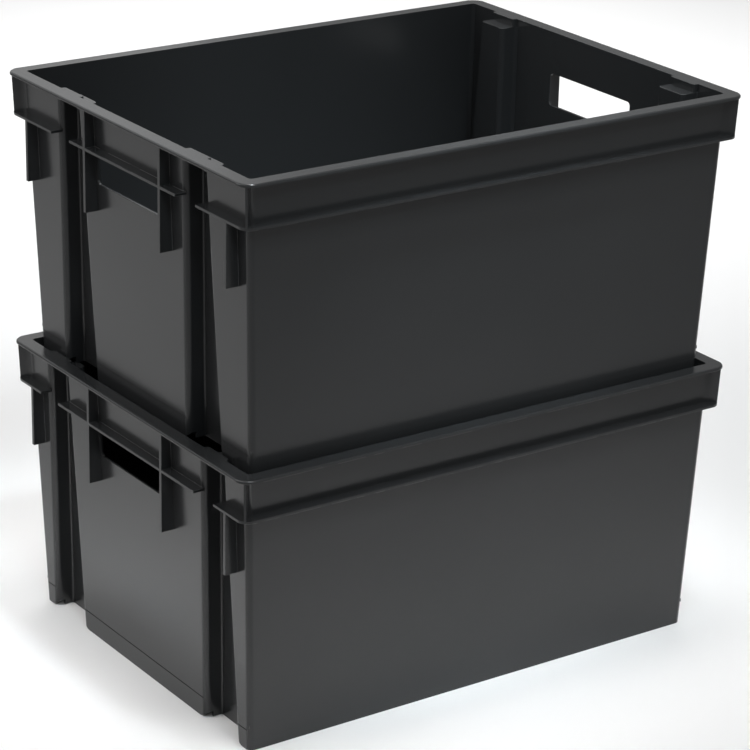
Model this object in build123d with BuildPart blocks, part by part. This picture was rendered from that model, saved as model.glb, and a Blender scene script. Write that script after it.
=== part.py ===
from build123d import *
import os
from math import cos, radians, sin, sqrt, tan

# Two identical stack-and-nest harvest crates. The lower one stands on the ground with its wide-groove end
# at -X. The upper one is turned half a turn, so its feet land on ledges inside the lower one's rim.
# Millimetres, +Z up, origin on the ground under the middle of the lower crate.

# Overall size of one crate
rim_length = 545.0
rim_width = 420.0
crate_height = 274.0

# Walls and base
wall = 2.5
wall_draft = 2.0
wall_corner_radius = 6.0
base_thickness = 3.0
base_clearance = 22.5

# Rim: an open channel all round, between a top flange and a shelf, with a web across each corner
rim_overhang = 12.2
rim_depth = 41.5
rim_corner_radius = 14.0
flange_thickness = 3.0
flange_edge_radius = 1.8
shelf_thickness = 2.5
shelf_inset = 2.9
web_thickness = 2.0
web_inset = 0.3
web_root_radius = 12.0

# Grooves in the end walls, which are columns inside. Each column's top is a ledge for the crate above.
groove_depth = 18.0
groove_width_at_rim = 30.0
groove_draft = 2.4
groove_edge_radius = 6.0
groove_root_radius = 2.0
wide_groove_inset = 70.0
narrow_groove_shift = 30.0
stack_drop = 8.0
ledge_thickness = 3.0
tab_depth = 4.5

# Fins under the rim of each end. Their lower ends rest on the next crate's rim when the crates are nested.
fin_thickness = 4.0
inner_fin_spacing = 132.0
outer_fin_inset = 35.0
nest_pitch = 100.0

# Hand hole between the two inner fins, straight under the shelf
hand_hole_height = 32.0
hand_hole_margin = 2.0
hand_hole_radius = 4.0

# Foot: a fine line across the end faces, rounded lower corners beside the grooves, ribs under the base
foot_line_height = 21.0
foot_line_width = 1.0
foot_line_depth = 0.6
foot_corner_height = 6.0
foot_corner_length = 10.0
foot_corner_radius = 13.0
rib_thickness = 2.5
rib_height = 9.0
rib_pitch = 90.0

# Extra length on cutting shapes, so that they pass right through
overcut = 2.0

# An edge that leans less than this many degrees counts as upright
upright_limit = 10

# Worked-out sizes
wall_rise = tan(radians(wall_draft))
groove_rise = tan(radians(groove_draft))
shelf_height = crate_height - rim_depth
flange_height = crate_height - flange_thickness
ledge_height = crate_height - stack_drop
ceiling_height = ledge_height - ledge_thickness
fin_foot_height = crate_height - nest_pitch
wide_groove_center = rim_width / 2 - wide_groove_inset
narrow_groove_center = wide_groove_center - narrow_groove_shift
outer_fin_spacing = rim_width - 2 * outer_fin_inset
hand_hole_width = inner_fin_spacing - fin_thickness - 2 * hand_hole_margin
stack_pitch = ledge_height
half_turn = 180


def half_length(height):
    """Half the length over the end walls' outer faces at a height above the ground."""
    return rim_length / 2 - rim_overhang - (crate_height - height) * wall_rise


def half_width(height):
    """Half the width over the long walls' outer faces at a height above the ground."""
    return rim_width / 2 - rim_overhang - (crate_height - height) * wall_rise


def groove_half_width(height):
    """Half the width of a groove at a height above the ground."""
    return groove_width_at_rim / 2 + (crate_height - height) * groove_rise


def ribs_across(half_span):
    """An odd number of ribs that leaves at least half a pitch free beside each wall."""
    return 2 * int((half_span - rib_pitch / 2) / rib_pitch) + 1


def corner_reach(inset):
    """How far in from the rim's sharp corner, along the diagonal, an outline inset from the rim starts."""
    return inset * sqrt(2) + (rim_corner_radius - inset) * (sqrt(2) - 1)


def is_upright(edge):
    """True for an edge that runs up a wall or a groove."""
    return abs(edge.tangent_at(0.5).Z) > cos(radians(upright_limit))


def is_groove_edge(edge):
    """True for an upright edge on an end wall's outer face, between the crate's corners."""
    middle = edge.center()
    on_face = abs(abs(middle.X) - half_length(middle.Z)) < wall / 2
    between_corners = abs(middle.Y) < half_width(middle.Z) - wall_corner_radius - wall
    return is_upright(edge) and on_face and between_corners


def is_column_root(edge):
    """True for an upright edge on an end wall's inner face, between the crate's corners."""
    middle = edge.center()
    on_face = abs(abs(middle.X) - half_length(middle.Z) + wall) < wall / 2
    between_corners = abs(middle.Y) < half_width(middle.Z) - wall_corner_radius - wall
    return is_upright(edge) and on_face and between_corners


def groove_bar(side, center, depths, heights, margin, root_radius):
    """A tapered bar up an end wall: a groove to cut out or, with a margin, the column around it."""
    start_depth, end_depth = depths
    low, high = heights
    face_start = (side * (half_length(0) - start_depth), center, 0)
    outward = (side * cos(radians(wall_draft)), 0, -sin(radians(wall_draft)))
    wall_plane = Plane(origin=face_start, x_dir=(0, side, 0), z_dir=outward)
    slope = 1 / cos(radians(wall_draft))
    low_half = groove_half_width(low) + margin
    high_half = groove_half_width(high) + margin
    corners = [
        (-low_half, low * slope),
        (low_half, low * slope),
        (high_half, high * slope),
        (-high_half, high * slope),
    ]
    with BuildPart() as bar:
        with BuildSketch(wall_plane):
            Polygon(*corners, align=None)
        extrude(amount=end_depth - start_depth, dir=(-side, 0, 0))
        if root_radius > 0:
            root_edges = bar.edges().filter_by(is_upright).sort_by(Axis.X, reverse=side < 0)[:2]
            fillet(root_edges, root_radius)
    return bar.part


def foot_corner(side, center, edge_side):
    """What is cut from an end panel's lower corner beside a groove, to round it."""
    groove_edge = center + edge_side * groove_half_width(0)
    in_groove = groove_edge - edge_side * overcut
    in_panel = groove_edge + edge_side * foot_corner_length
    with BuildPart() as corner:
        with BuildSketch(Plane.YZ.offset(side * half_length(0))):
            with BuildLine():
                RadiusArc((groove_edge, foot_corner_height), (in_panel, 0), -edge_side * foot_corner_radius)
                Polyline(
                    (in_panel, 0),
                    (in_panel, -overcut),
                    (in_groove, -overcut),
                    (in_groove, foot_corner_height),
                    (groove_edge, foot_corner_height),
                )
            make_face()
        extrude(amount=groove_edge_radius + wall, both=True)
    return corner.part


# The lower crate's grooves: side of the crate along X, and place along Y
groove_places = [
    (-1, -wide_groove_center),
    (-1, wide_groove_center),
    (1, -narrow_groove_center),
    (1, narrow_groove_center),
]

columns = []
grooves = []
tabs = []
tab_recesses = []
tab_caps = []
foot_corners = []
for side, center in groove_places:
    columns.append(
        groove_bar(
            side,
            center,
            depths=(wall / 2, groove_depth + wall),
            heights=(0, ledge_height),
            margin=wall,
            root_radius=groove_root_radius + wall,
        )
    )
    tabs.append(
        groove_bar(
            side,
            center,
            depths=(wall / 2, tab_depth + wall),
            heights=(ceiling_height, flange_height),
            margin=wall,
            root_radius=wall,
        )
    )
    grooves.append(
        groove_bar(
            side,
            center,
            depths=(-overcut, groove_depth),
            heights=(-overcut, ceiling_height),
            margin=0,
            root_radius=groove_root_radius,
        )
    )
    tab_recesses.append(
        groove_bar(
            side,
            center,
            depths=(-overcut, tab_depth),
            heights=(ceiling_height - overcut, flange_height + overcut),
            margin=0,
            root_radius=0,
        )
    )
    tab_caps.append(
        groove_bar(
            side,
            center,
            depths=(wall / 2, tab_depth + wall),
            heights=(flange_height, crate_height),
            margin=wall,
            root_radius=wall,
        )
    )
    foot_corners.append(foot_corner(side, center, -1))
    foot_corners.append(foot_corner(side, center, 1))

# Outside and inside of the drafted tub, under the flange
with BuildPart() as tub_outside:
    with BuildSketch():
        Rectangle(2 * half_length(0), 2 * half_width(0))
    extrude(amount=flange_height)
    draft(tub_outside.faces().filter_by(Axis.Z, reverse=True), Plane.XY, -wall_draft)
    fillet(tub_outside.edges().filter_by(is_upright), wall_corner_radius)

with BuildPart() as tub_inside:
    with BuildSketch():
        Rectangle(2 * (half_length(0) - wall), 2 * (half_width(0) - wall))
    extrude(amount=crate_height + overcut)
    draft(tub_inside.faces().filter_by(Axis.Z, reverse=True), Plane.XY, -wall_draft)
    fillet(tub_inside.edges().filter_by(is_upright), wall_corner_radius - wall)

# Space inside the crate, with the columns standing in it
with BuildPart() as cavity:
    add(tub_inside.part)
    add(columns, mode=Mode.SUBTRACT)
    fillet(cavity.edges().filter_by(is_column_root), groove_edge_radius - wall)

# Top flange, whose mouth the tabs narrow above the grooves
with BuildPart() as top_flange:
    with BuildSketch(Plane.XY.offset(flange_height)):
        RectangleRounded(rim_length, rim_width, rim_corner_radius)
    extrude(amount=flange_thickness)
    add(tub_inside.part, mode=Mode.SUBTRACT)
    add(tab_caps)
    top_face = top_flange.faces().sort_by(Axis.Z)[-1]
    fillet(top_face.outer_wire().edges(), flange_edge_radius)

# Shelf under the channel. The grooves pass through it on the ends.
with BuildPart() as shelf:
    with BuildSketch(Plane.XY.offset(shelf_height)):
        RectangleRounded(
            rim_length - 2 * shelf_inset,
            rim_width - 2 * shelf_inset,
            rim_corner_radius - shelf_inset,
        )
        RectangleRounded(
            2 * half_length(shelf_height) - wall,
            2 * half_width(shelf_height) - wall,
            wall_corner_radius - wall / 2,
            mode=Mode.SUBTRACT,
        )
        for side, center in groove_places:
            with Locations((side * rim_length / 2, center)):
                Rectangle(
                    2 * (rim_overhang + 2 * wall),
                    2 * groove_half_width(shelf_height),
                    mode=Mode.SUBTRACT,
                )
    extrude(amount=shelf_thickness)

# Webs across the corners of the channel. Each flares out of both walls and leans outwards with them.
web_rise = flange_height - shelf_height
web_tip = (rim_length / 2 - half_length(shelf_height)) * sqrt(2) - corner_reach(shelf_inset) - web_inset
web_root_corners = [
    (0, 0),
    (-web_root_radius, web_root_radius),
    (-2 * web_root_radius, 0),
    (-web_root_radius, -web_root_radius),
]
with BuildPart() as webs:
    for x_side in (-1, 1):
        for y_side in (-1, 1):
            wall_corner = (
                x_side * half_length(shelf_height),
                y_side * half_width(shelf_height),
                shelf_height,
            )
            web_plane = Plane(origin=wall_corner, x_dir=(x_side, y_side, 0), z_dir=(0, 0, 1))
            with BuildSketch(web_plane) as web_outline:
                Polygon(*web_root_corners, align=None)
                with Locations((-web_root_radius, 0)):
                    Rectangle(web_root_radius + web_tip, web_thickness, align=(Align.MIN, Align.CENTER))
                fillet(web_outline.vertices().sort_by_distance((0, 0, 0))[:2], web_root_radius)
            lean = Vector(x_side * wall_rise, y_side * wall_rise, 1)
            extrude(amount=web_rise * lean.length, dir=lean)

# Fins: the inner pair at each end starts at the flange, the outer pair under the shelf
with BuildPart() as fins:
    for side in (-1, 1):
        for spacing, top in ((inner_fin_spacing, flange_height), (outer_fin_spacing, shelf_height)):
            with BuildSketch(Plane.XZ.offset(spacing / 2), Plane.XZ.offset(-spacing / 2)):
                Polygon(
                    (side * (half_length(top) - wall / 2), top),
                    (side * (rim_length / 2 - shelf_inset), top),
                    (side * (rim_length / 2 - shelf_inset), fin_foot_height),
                    (side * (half_length(fin_foot_height) - wall / 2), fin_foot_height),
                    align=None,
                )
            extrude(amount=fin_thickness / 2, both=True)

# Base plate, and the ribs under it
with BuildPart() as base:
    with BuildSketch(Plane.XY.offset(base_clearance)):
        Rectangle(2 * half_length(base_clearance) - wall, 2 * half_width(base_clearance) - wall)
    extrude(amount=base_thickness)
    with BuildSketch(Plane.XY.offset(base_clearance - rib_height)):
        with GridLocations(0, rib_pitch, 1, ribs_across(half_width(0))):
            Rectangle(2 * half_length(0) - wall, rib_thickness)
        with GridLocations(rib_pitch, 0, ribs_across(half_length(0)), 1):
            Rectangle(rib_thickness, 2 * half_width(0) - wall)
    extrude(amount=rib_height)

with BuildPart() as lower_crate:
    # Walls with their columns and grooves
    add(tub_outside.part)
    add(webs.part)
    add(cavity.part, mode=Mode.SUBTRACT)
    add(base.part)
    add(tabs)
    add(grooves, mode=Mode.SUBTRACT)
    fillet(lower_crate.edges().filter_by(is_groove_edge), groove_edge_radius)
    add(tab_recesses, mode=Mode.SUBTRACT)
    add(foot_corners, mode=Mode.SUBTRACT)
    # Fine line across the end faces, at the top of the feet
    with BuildSketch(Plane.XY.offset(foot_line_height)):
        Rectangle(rim_length, rim_width)
        Rectangle(2 * (half_length(foot_line_height) - foot_line_depth), rim_width, mode=Mode.SUBTRACT)
    extrude(amount=-foot_line_width, mode=Mode.SUBTRACT)
    # Rim and fins
    add(top_flange.part)
    add(shelf.part)
    add(fins.part)
    # Hand holes, through both end walls
    with BuildSketch(Plane.YZ):
        with Locations((0, shelf_height - hand_hole_height / 2)):
            RectangleRounded(hand_hole_width, hand_hole_height, hand_hole_radius)
    extrude(amount=rim_length / 2, both=True, mode=Mode.SUBTRACT)

with BuildPart() as upper_crate:
    with Locations(Location((0, 0, stack_pitch), (0, 0, half_turn))):
        add(lower_crate.part.solids())

lower_crate.part.label = "lower_crate"
upper_crate.part.label = "upper_crate"
os.makedirs("parts", exist_ok=True)
export_step(lower_crate.part, "parts/lower_crate.step")
export_step(upper_crate.part, "parts/upper_crate.step")
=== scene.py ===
import math

import bmesh
import bpy
from mathutils import Matrix, Vector
from mathutils.bvhtree import BVHTree
from mathutils.kdtree import KDTree


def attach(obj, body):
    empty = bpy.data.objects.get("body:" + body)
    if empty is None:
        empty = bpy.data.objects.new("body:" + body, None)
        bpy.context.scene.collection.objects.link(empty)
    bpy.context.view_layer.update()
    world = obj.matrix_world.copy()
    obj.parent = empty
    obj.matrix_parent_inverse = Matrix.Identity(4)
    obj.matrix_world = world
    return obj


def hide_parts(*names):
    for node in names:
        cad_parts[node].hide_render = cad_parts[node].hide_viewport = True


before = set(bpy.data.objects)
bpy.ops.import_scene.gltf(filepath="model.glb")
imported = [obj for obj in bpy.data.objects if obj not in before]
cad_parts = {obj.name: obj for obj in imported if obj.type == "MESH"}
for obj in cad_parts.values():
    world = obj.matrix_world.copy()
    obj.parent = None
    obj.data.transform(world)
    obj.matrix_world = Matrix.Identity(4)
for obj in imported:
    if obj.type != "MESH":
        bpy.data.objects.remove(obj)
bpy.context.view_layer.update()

# Two black stack-and-nest harvest crates on a pale studio floor. Metres, in the part's own frame: +X along
# the long sides, +Z up, origin on the ground under the middle of the lower crate.

# Where the photograph was taken from, in degrees and metres, with its lens and sensor in millimetres
view_azimuth = -34.874
view_elevation = 21.129
view_roll = 1.263
camera_place = (-1.51706, -2.18937, 1.27913)
lens_length = 142.83
sensor_width = 36.0

# Moulded edges
edge_round = 0.0004  # how far from the edge its rounding starts
edge_round_steps = 2  # flat steps around the rounding
edge_round_profile = 0.5  # 0.5 is a circular arc
flat_angle = math.radians(0.2)  # triangles that turn by less are one flat face
sharp_angle = math.radians(25)  # an edge that turns by more is rounded, by less is shaded smooth
rounded_angle = math.radians(60)  # a rounded edge is shaded as one with faces that turn by less
folded_angle = math.radians(120)  # faces that turn by more have folded over
crisp_width = 0.0011  # the edges of a narrower face stay crisp
fold_reach = 0.001  # an edge that would fold a face this close stays crisp
merge_distance = 0.000002  # corners of triangles this close are one
rounded_weight = 0.0001  # share of a rounded edge's area that counts in the normals beside it

# Black polypropylene: never quite even, semi-gloss, and greyer and duller where it is rubbed
plastic_ior = 1.49
darker_black = (0.0186, 0.0194, 0.0202, 1.0)
lighter_black = (0.0214, 0.0222, 0.0230, 1.0)
rubbed_grey = (0.042, 0.043, 0.044, 1.0)
glossy_roughness = 0.19
dull_roughness = 0.235
rubbed_roughness = 0.34

# Its patches, ripples and grain: the scale and detail of each noise, and the stretch of noise in use
black_patches = (5.0, 2.0)
gloss_patches = (6.0, 3.0)
rubbed_patches = (45.0, 3.0)
cooling_ripples = (5.0, 1.0)
mould_grain = (1400.0, 2.0)
noise_low = 0.3
noise_high = 0.7

# Its relief: strength and depth
ripple_strength = 0.16
ripple_depth = 0.004
grain_strength = 0.05
grain_depth = 0.0003

# Studio
floor_size = 16.0
floor_color = (0.86, 0.86, 0.86, 1.0)
floor_roughness = 0.9
floor_shine = 0.0
room_color = (1.0, 1.0, 1.0, 1.0)
room_brightness = 0.33

# Softboxes: where each hangs, the place that it faces, its width and height, its beam in degrees, its
# brightness against white and its colour
neutral = (1.0, 1.0, 1.0)
cool = (0.88, 1.0, 1.06)
warm = (1.05, 1.0, 0.97)
softboxes = {
    "mouth_softbox": ((0.0, 0.0, 2.1), (0.0, 0.0, 0.0), 0.5, 0.4, 30, 1.32, neutral),
    "inside_softbox": ((-0.05, -0.5, 2.1), (0.0, 0.0, 0.4), 0.3, 0.2, 20, 5.0, cool),
    "key_softbox": ((-0.7, -1.6, 2.2), (0.05, 0.05, 0.4), 0.6, 0.6, 30, 0.63, cool),
    "front_softbox": ((0.05, -1.1, 2.2), (0.05, -0.3, 0.0), 0.9, 0.4, 32, 1.08, neutral),
    "end_softbox": ((-1.25, 0.0, 1.9), (-0.36, 0.05, 0.0), 0.4, 0.6, 28, 0.49, warm),
    "left_softbox": ((-1.3, 0.6, 1.2), (-0.6, 0.3, 0.0), 0.9, 0.9, 180, 2.3, neutral),
    "back_softbox": ((-0.1, 1.75, 1.35), (-0.1, 0.2, 0.3), 2.2, 1.4, 180, 0.49, neutral),
    "background_softbox": ((1.0, 1.5, 2.5), (1.0, 1.5, 0.0), 2.0, 2.0, 80, 1.56, neutral),
}


def moulded_plastic(name):
    """Black polypropylene off a steel mould: fine grain, slow ripples and slightly rubbed edges."""
    material = bpy.data.materials.new(name)
    material.use_nodes = True
    nodes = material.node_tree.nodes
    links = material.node_tree.links
    nodes.clear()
    output = nodes.new("ShaderNodeOutputMaterial")
    shader = nodes.new("ShaderNodeBsdfPrincipled")
    shader.inputs["IOR"].default_value = plastic_ior
    links.new(shader.outputs["BSDF"], output.inputs["Surface"])
    place = nodes.new("ShaderNodeTexCoord").outputs["Object"]

    def noise(scale, detail):
        texture = nodes.new("ShaderNodeTexNoise")
        texture.inputs["Scale"].default_value = scale
        texture.inputs["Detail"].default_value = detail
        links.new(place, texture.inputs["Vector"])
        return texture.outputs["Fac"]

    def ranged(value, low, high):
        spread = nodes.new("ShaderNodeMapRange")
        spread.inputs["From Min"].default_value = noise_low
        spread.inputs["From Max"].default_value = noise_high
        spread.inputs["To Min"].default_value = low
        spread.inputs["To Max"].default_value = high
        links.new(value, spread.inputs["Value"])
        return spread.outputs["Result"]

    def mixed(kind, start, end, amount):
        blend = nodes.new("ShaderNodeMix")
        blend.data_type = kind
        sockets = [socket for socket in blend.inputs if socket.enabled]
        for value, socket in zip((amount, start, end), sockets):
            if isinstance(value, bpy.types.NodeSocket):
                links.new(value, socket)
            else:
                socket.default_value = value
        return next(socket for socket in blend.outputs if socket.enabled)

    def relief(height, strength, depth):
        bump = nodes.new("ShaderNodeBump")
        bump.inputs["Strength"].default_value = strength
        bump.inputs["Distance"].default_value = depth
        links.new(height, bump.inputs["Height"])
        return bump

    # Where edges are rubbed: along the moulding's rounded edges, in patches
    rounded_edge = nodes.new("ShaderNodeAttribute")
    rounded_edge.attribute_name = "rounded_edge"
    rubbing = nodes.new("ShaderNodeMath")
    rubbing.operation = "MULTIPLY"
    links.new(rounded_edge.outputs["Fac"], rubbing.inputs[0])
    links.new(ranged(noise(*rubbed_patches), 0.0, 1.0), rubbing.inputs[1])
    rubbed = rubbing.outputs["Value"]

    # Colour
    black = mixed("RGBA", darker_black, lighter_black, ranged(noise(*black_patches), 0.0, 1.0))
    links.new(mixed("RGBA", black, rubbed_grey, rubbed), shader.inputs["Base Color"])

    # Gloss
    gloss = ranged(noise(*gloss_patches), glossy_roughness, dull_roughness)
    links.new(mixed("FLOAT", gloss, rubbed_roughness, rubbed), shader.inputs["Roughness"])

    # Relief: slow ripples from cooling, then the mould's fine grain
    ripple = relief(noise(*cooling_ripples), ripple_strength, ripple_depth)
    grain = relief(noise(*mould_grain), grain_strength, grain_depth)
    links.new(ripple.outputs["Normal"], grain.inputs["Normal"])
    links.new(grain.outputs["Normal"], shader.inputs["Normal"])
    return material


def is_crisp(edge):
    """True for an edge of a face that is too narrow to have rounded edges."""
    return any(face.calc_area() < crisp_width * edge.calc_length() for face in edge.link_faces)


def runs_on(edge, chosen):
    """True for an edge that runs almost straight on into one that isn't chosen."""
    for loop in edge.link_loops:
        after = loop.link_loop_next
        for corner, other in ((loop, loop.link_loop_prev.edge), (after, after.edge)):
            if other not in chosen and other.calc_length() * math.sin(corner.calc_angle()) < edge_round:
                return True
    return False


def without_run_ons(chosen):
    """The chosen edges, apart from those that run on into others."""
    run_ons = {edge for edge in chosen if runs_on(edge, chosen)}
    while run_ons:
        chosen = chosen - run_ons
        run_ons = {edge for edge in chosen if runs_on(edge, chosen)}
    return chosen


def round_edges(shape, edges):
    """Round edges of a shape, and give the new faces."""
    rounded = bmesh.ops.bevel(
        shape,
        geom=edges,
        offset=edge_round,
        offset_type="OFFSET",
        segments=edge_round_steps,
        profile=edge_round_profile,
        affect="EDGES",
        clamp_overlap=False,
    )
    return rounded["faces"]


def folded_places(shape):
    """The places where faces of a shape fold over or cross one another."""
    places = []
    for edge in shape.edges:
        if edge.calc_face_angle(0.0) > folded_angle:
            places += [vert.co.copy() for vert in edge.verts]
    tree = BVHTree.FromBMesh(shape)
    shape.faces.ensure_lookup_table()
    for pair in tree.overlap(tree):
        one, two = (shape.faces[number] for number in pair)
        if not set(one.verts) & set(two.verts):
            places += [vert.co.copy() for vert in min(one, two, key=lambda face: face.calc_area()).verts]
    return places


def trial_folds(shape, chosen):
    """The places where faces fold once the chosen edges are rounded, found on a copy of the shape."""
    shape.edges.index_update()
    trial = shape.copy()
    trial.edges.ensure_lookup_table()
    round_edges(trial, [trial.edges[number] for number in sorted(edge.index for edge in chosen)])
    bmesh.ops.triangulate(trial, faces=trial.faces)
    places = folded_places(trial)
    trial.free()
    return places


def is_near(edge, tree):
    """True for an edge with a point of the tree close to it."""
    start, end = (vert.co for vert in edge.verts)
    steps = int(edge.calc_length() / fold_reach) + 1
    return any(tree.find(start.lerp(end, step / steps))[2] < fold_reach for step in range(steps + 1))


def edges_near(chosen, places):
    """The chosen edges that pass close to any of the places."""
    tree = KDTree(len(places))
    for number, place in enumerate(places):
        tree.insert(place, number)
    tree.balance()
    return {edge for edge in chosen if places and is_near(edge, tree)}


def edges_to_round(shape):
    """The sharp edges, apart from those where a rounded edge would fold the faces beside it."""
    sharp = {edge for edge in shape.edges if edge.calc_face_angle(0.0) > sharp_angle}
    chosen = {edge for edge in sharp if not is_crisp(edge)}
    folding = chosen
    while folding:
        chosen = without_run_ons(chosen)
        folding = edges_near(chosen, trial_folds(shape, chosen))
        chosen = chosen - folding
    return sorted(chosen, key=lambda edge: edge.index)


def corner_normals(shape, weight, rounded):
    """A normal for each corner: level on flat faces, and turning along curved faces and rounded edges."""
    normals = []
    for face in shape.faces:
        reach = math.cos(rounded_angle if face[rounded] else sharp_angle)
        for corner in face.loops:
            beside = [other for other in corner.vert.link_faces if other.normal.dot(face.normal) > reach]
            normals.append(sum((other.normal * other[weight] for other in beside), Vector()).normalized())
    return normals


def merged_solid(mesh):
    """A solid's loose triangles as one closed shape of whole faces."""
    shape = bmesh.new()
    shape.from_mesh(mesh)
    bmesh.ops.remove_doubles(shape, verts=shape.verts, dist=merge_distance)
    bmesh.ops.dissolve_limit(
        shape, angle_limit=flat_angle, use_dissolve_boundaries=False, verts=shape.verts, edges=shape.edges
    )
    shape.normal_update()
    return shape


def round_moulded_edges(mesh):
    """Round the edges of a crate's mesh, mark them for the rubbing, and set its normals."""
    shape = merged_solid(mesh)

    # A new layer moves the others and loses the faces held, so all are made before any is fetched
    face_layers = shape.faces.layers.float
    face_layers.new("rounded")
    face_layers.new("weight")
    shape.loops.layers.float.new("rounded_edge")
    rounded = face_layers["rounded"]
    weight = face_layers["weight"]
    rounded_edge = shape.loops.layers.float["rounded_edge"]

    rounded_faces = round_edges(shape, edges_to_round(shape))
    for face in shape.faces:
        face.smooth = True
        face[weight] = face.calc_area()
    for face in rounded_faces:
        face[rounded] = 1.0
        face[weight] *= rounded_weight
        for corner in face.loops:
            corner[rounded_edge] = 1.0
    bmesh.ops.triangulate(shape, faces=shape.faces)
    shape.normal_update()
    normals = corner_normals(shape, weight, rounded)

    # Only the mark on the rounded edges stays on the mesh
    for name in ("rounded", "weight"):
        face_layers.remove(face_layers[name])
    shape.to_mesh(mesh)
    shape.free()
    mesh.normals_split_custom_set(normals)


def moulding(node, body, slot):
    """A crate with its moulded edges rounded, in place of the crate's plain solid."""
    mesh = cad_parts[node].data.copy()
    mesh.name = node + "_moulding"
    round_moulded_edges(mesh)
    mesh.materials.clear()
    mesh.materials.append(moulded_plastic(slot))
    crate = bpy.data.objects.new(node + "_moulding", mesh)
    bpy.context.scene.collection.objects.link(crate)
    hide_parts(node)
    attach(crate, body)


def studio_floor():
    """A plain pale floor, large enough to fill the view."""
    mesh = bpy.data.meshes.new("studio_floor")
    half = floor_size / 2
    corners = [(-half, -half, 0), (half, -half, 0), (half, half, 0), (-half, half, 0)]
    mesh.from_pydata(corners, [], [(0, 1, 2, 3)])
    floor = bpy.data.objects.new("studio_floor", mesh)
    bpy.context.scene.collection.objects.link(floor)
    material = bpy.data.materials.new("studio_floor_paper")
    material.use_nodes = True
    shader = material.node_tree.nodes["Principled BSDF"]
    shader.inputs["Base Color"].default_value = floor_color
    shader.inputs["Roughness"].default_value = floor_roughness
    shader.inputs["Specular IOR Level"].default_value = floor_shine
    mesh.materials.append(material)


def studio_room():
    """The even light of a pale room."""
    world = bpy.data.worlds.new("studio_room")
    world.use_nodes = True
    background = world.node_tree.nodes["Background"]
    background.inputs["Color"].default_value = room_color
    background.inputs["Strength"].default_value = room_brightness
    bpy.context.scene.world = world


def studio_softboxes():
    """Soft light from a few large softboxes."""
    for name, (place, aim, width, height, beam, brightness, color) in softboxes.items():
        data = bpy.data.lights.new(name, "AREA")
        data.shape = "RECTANGLE"
        data.size = width
        data.size_y = height
        data.spread = math.radians(beam)
        data.color = color
        data.energy = brightness * math.pi * width * height
        light = bpy.data.objects.new(name, data)
        light.location = place
        light.rotation_euler = (Vector(aim) - Vector(place)).to_track_quat("-Z", "Y").to_euler()
        bpy.context.scene.collection.objects.link(light)


def photograph_camera():
    """The camera at the photograph's angle."""
    azimuth = math.radians(view_azimuth)
    elevation = math.radians(view_elevation)
    roll = math.radians(view_roll)
    level = math.cos(elevation)
    back = Vector((math.sin(azimuth) * level, -math.cos(azimuth) * level, math.sin(elevation)))
    level_right = Vector((math.cos(azimuth), math.sin(azimuth), 0))
    level_up = back.cross(level_right)
    right = level_right * math.cos(roll) + level_up * math.sin(roll)
    up = level_up * math.cos(roll) - level_right * math.sin(roll)
    data = bpy.data.cameras.new("photograph_camera")
    data.lens = lens_length
    data.sensor_width = sensor_width
    camera = bpy.data.objects.new("photograph_camera", data)
    bpy.context.scene.collection.objects.link(camera)
    turn = Matrix((right, up, back)).transposed()
    camera.matrix_world = Matrix.Translation(camera_place) @ turn.to_4x4()
    bpy.context.scene.camera = camera


bpy.context.scene.view_settings.view_transform = "Standard"
for crate_name in ("lower_crate", "upper_crate"):
    moulding(node=crate_name, body=crate_name, slot=crate_name + "_plastic")
studio_floor()
studio_room()
studio_softboxes()
photograph_camera()
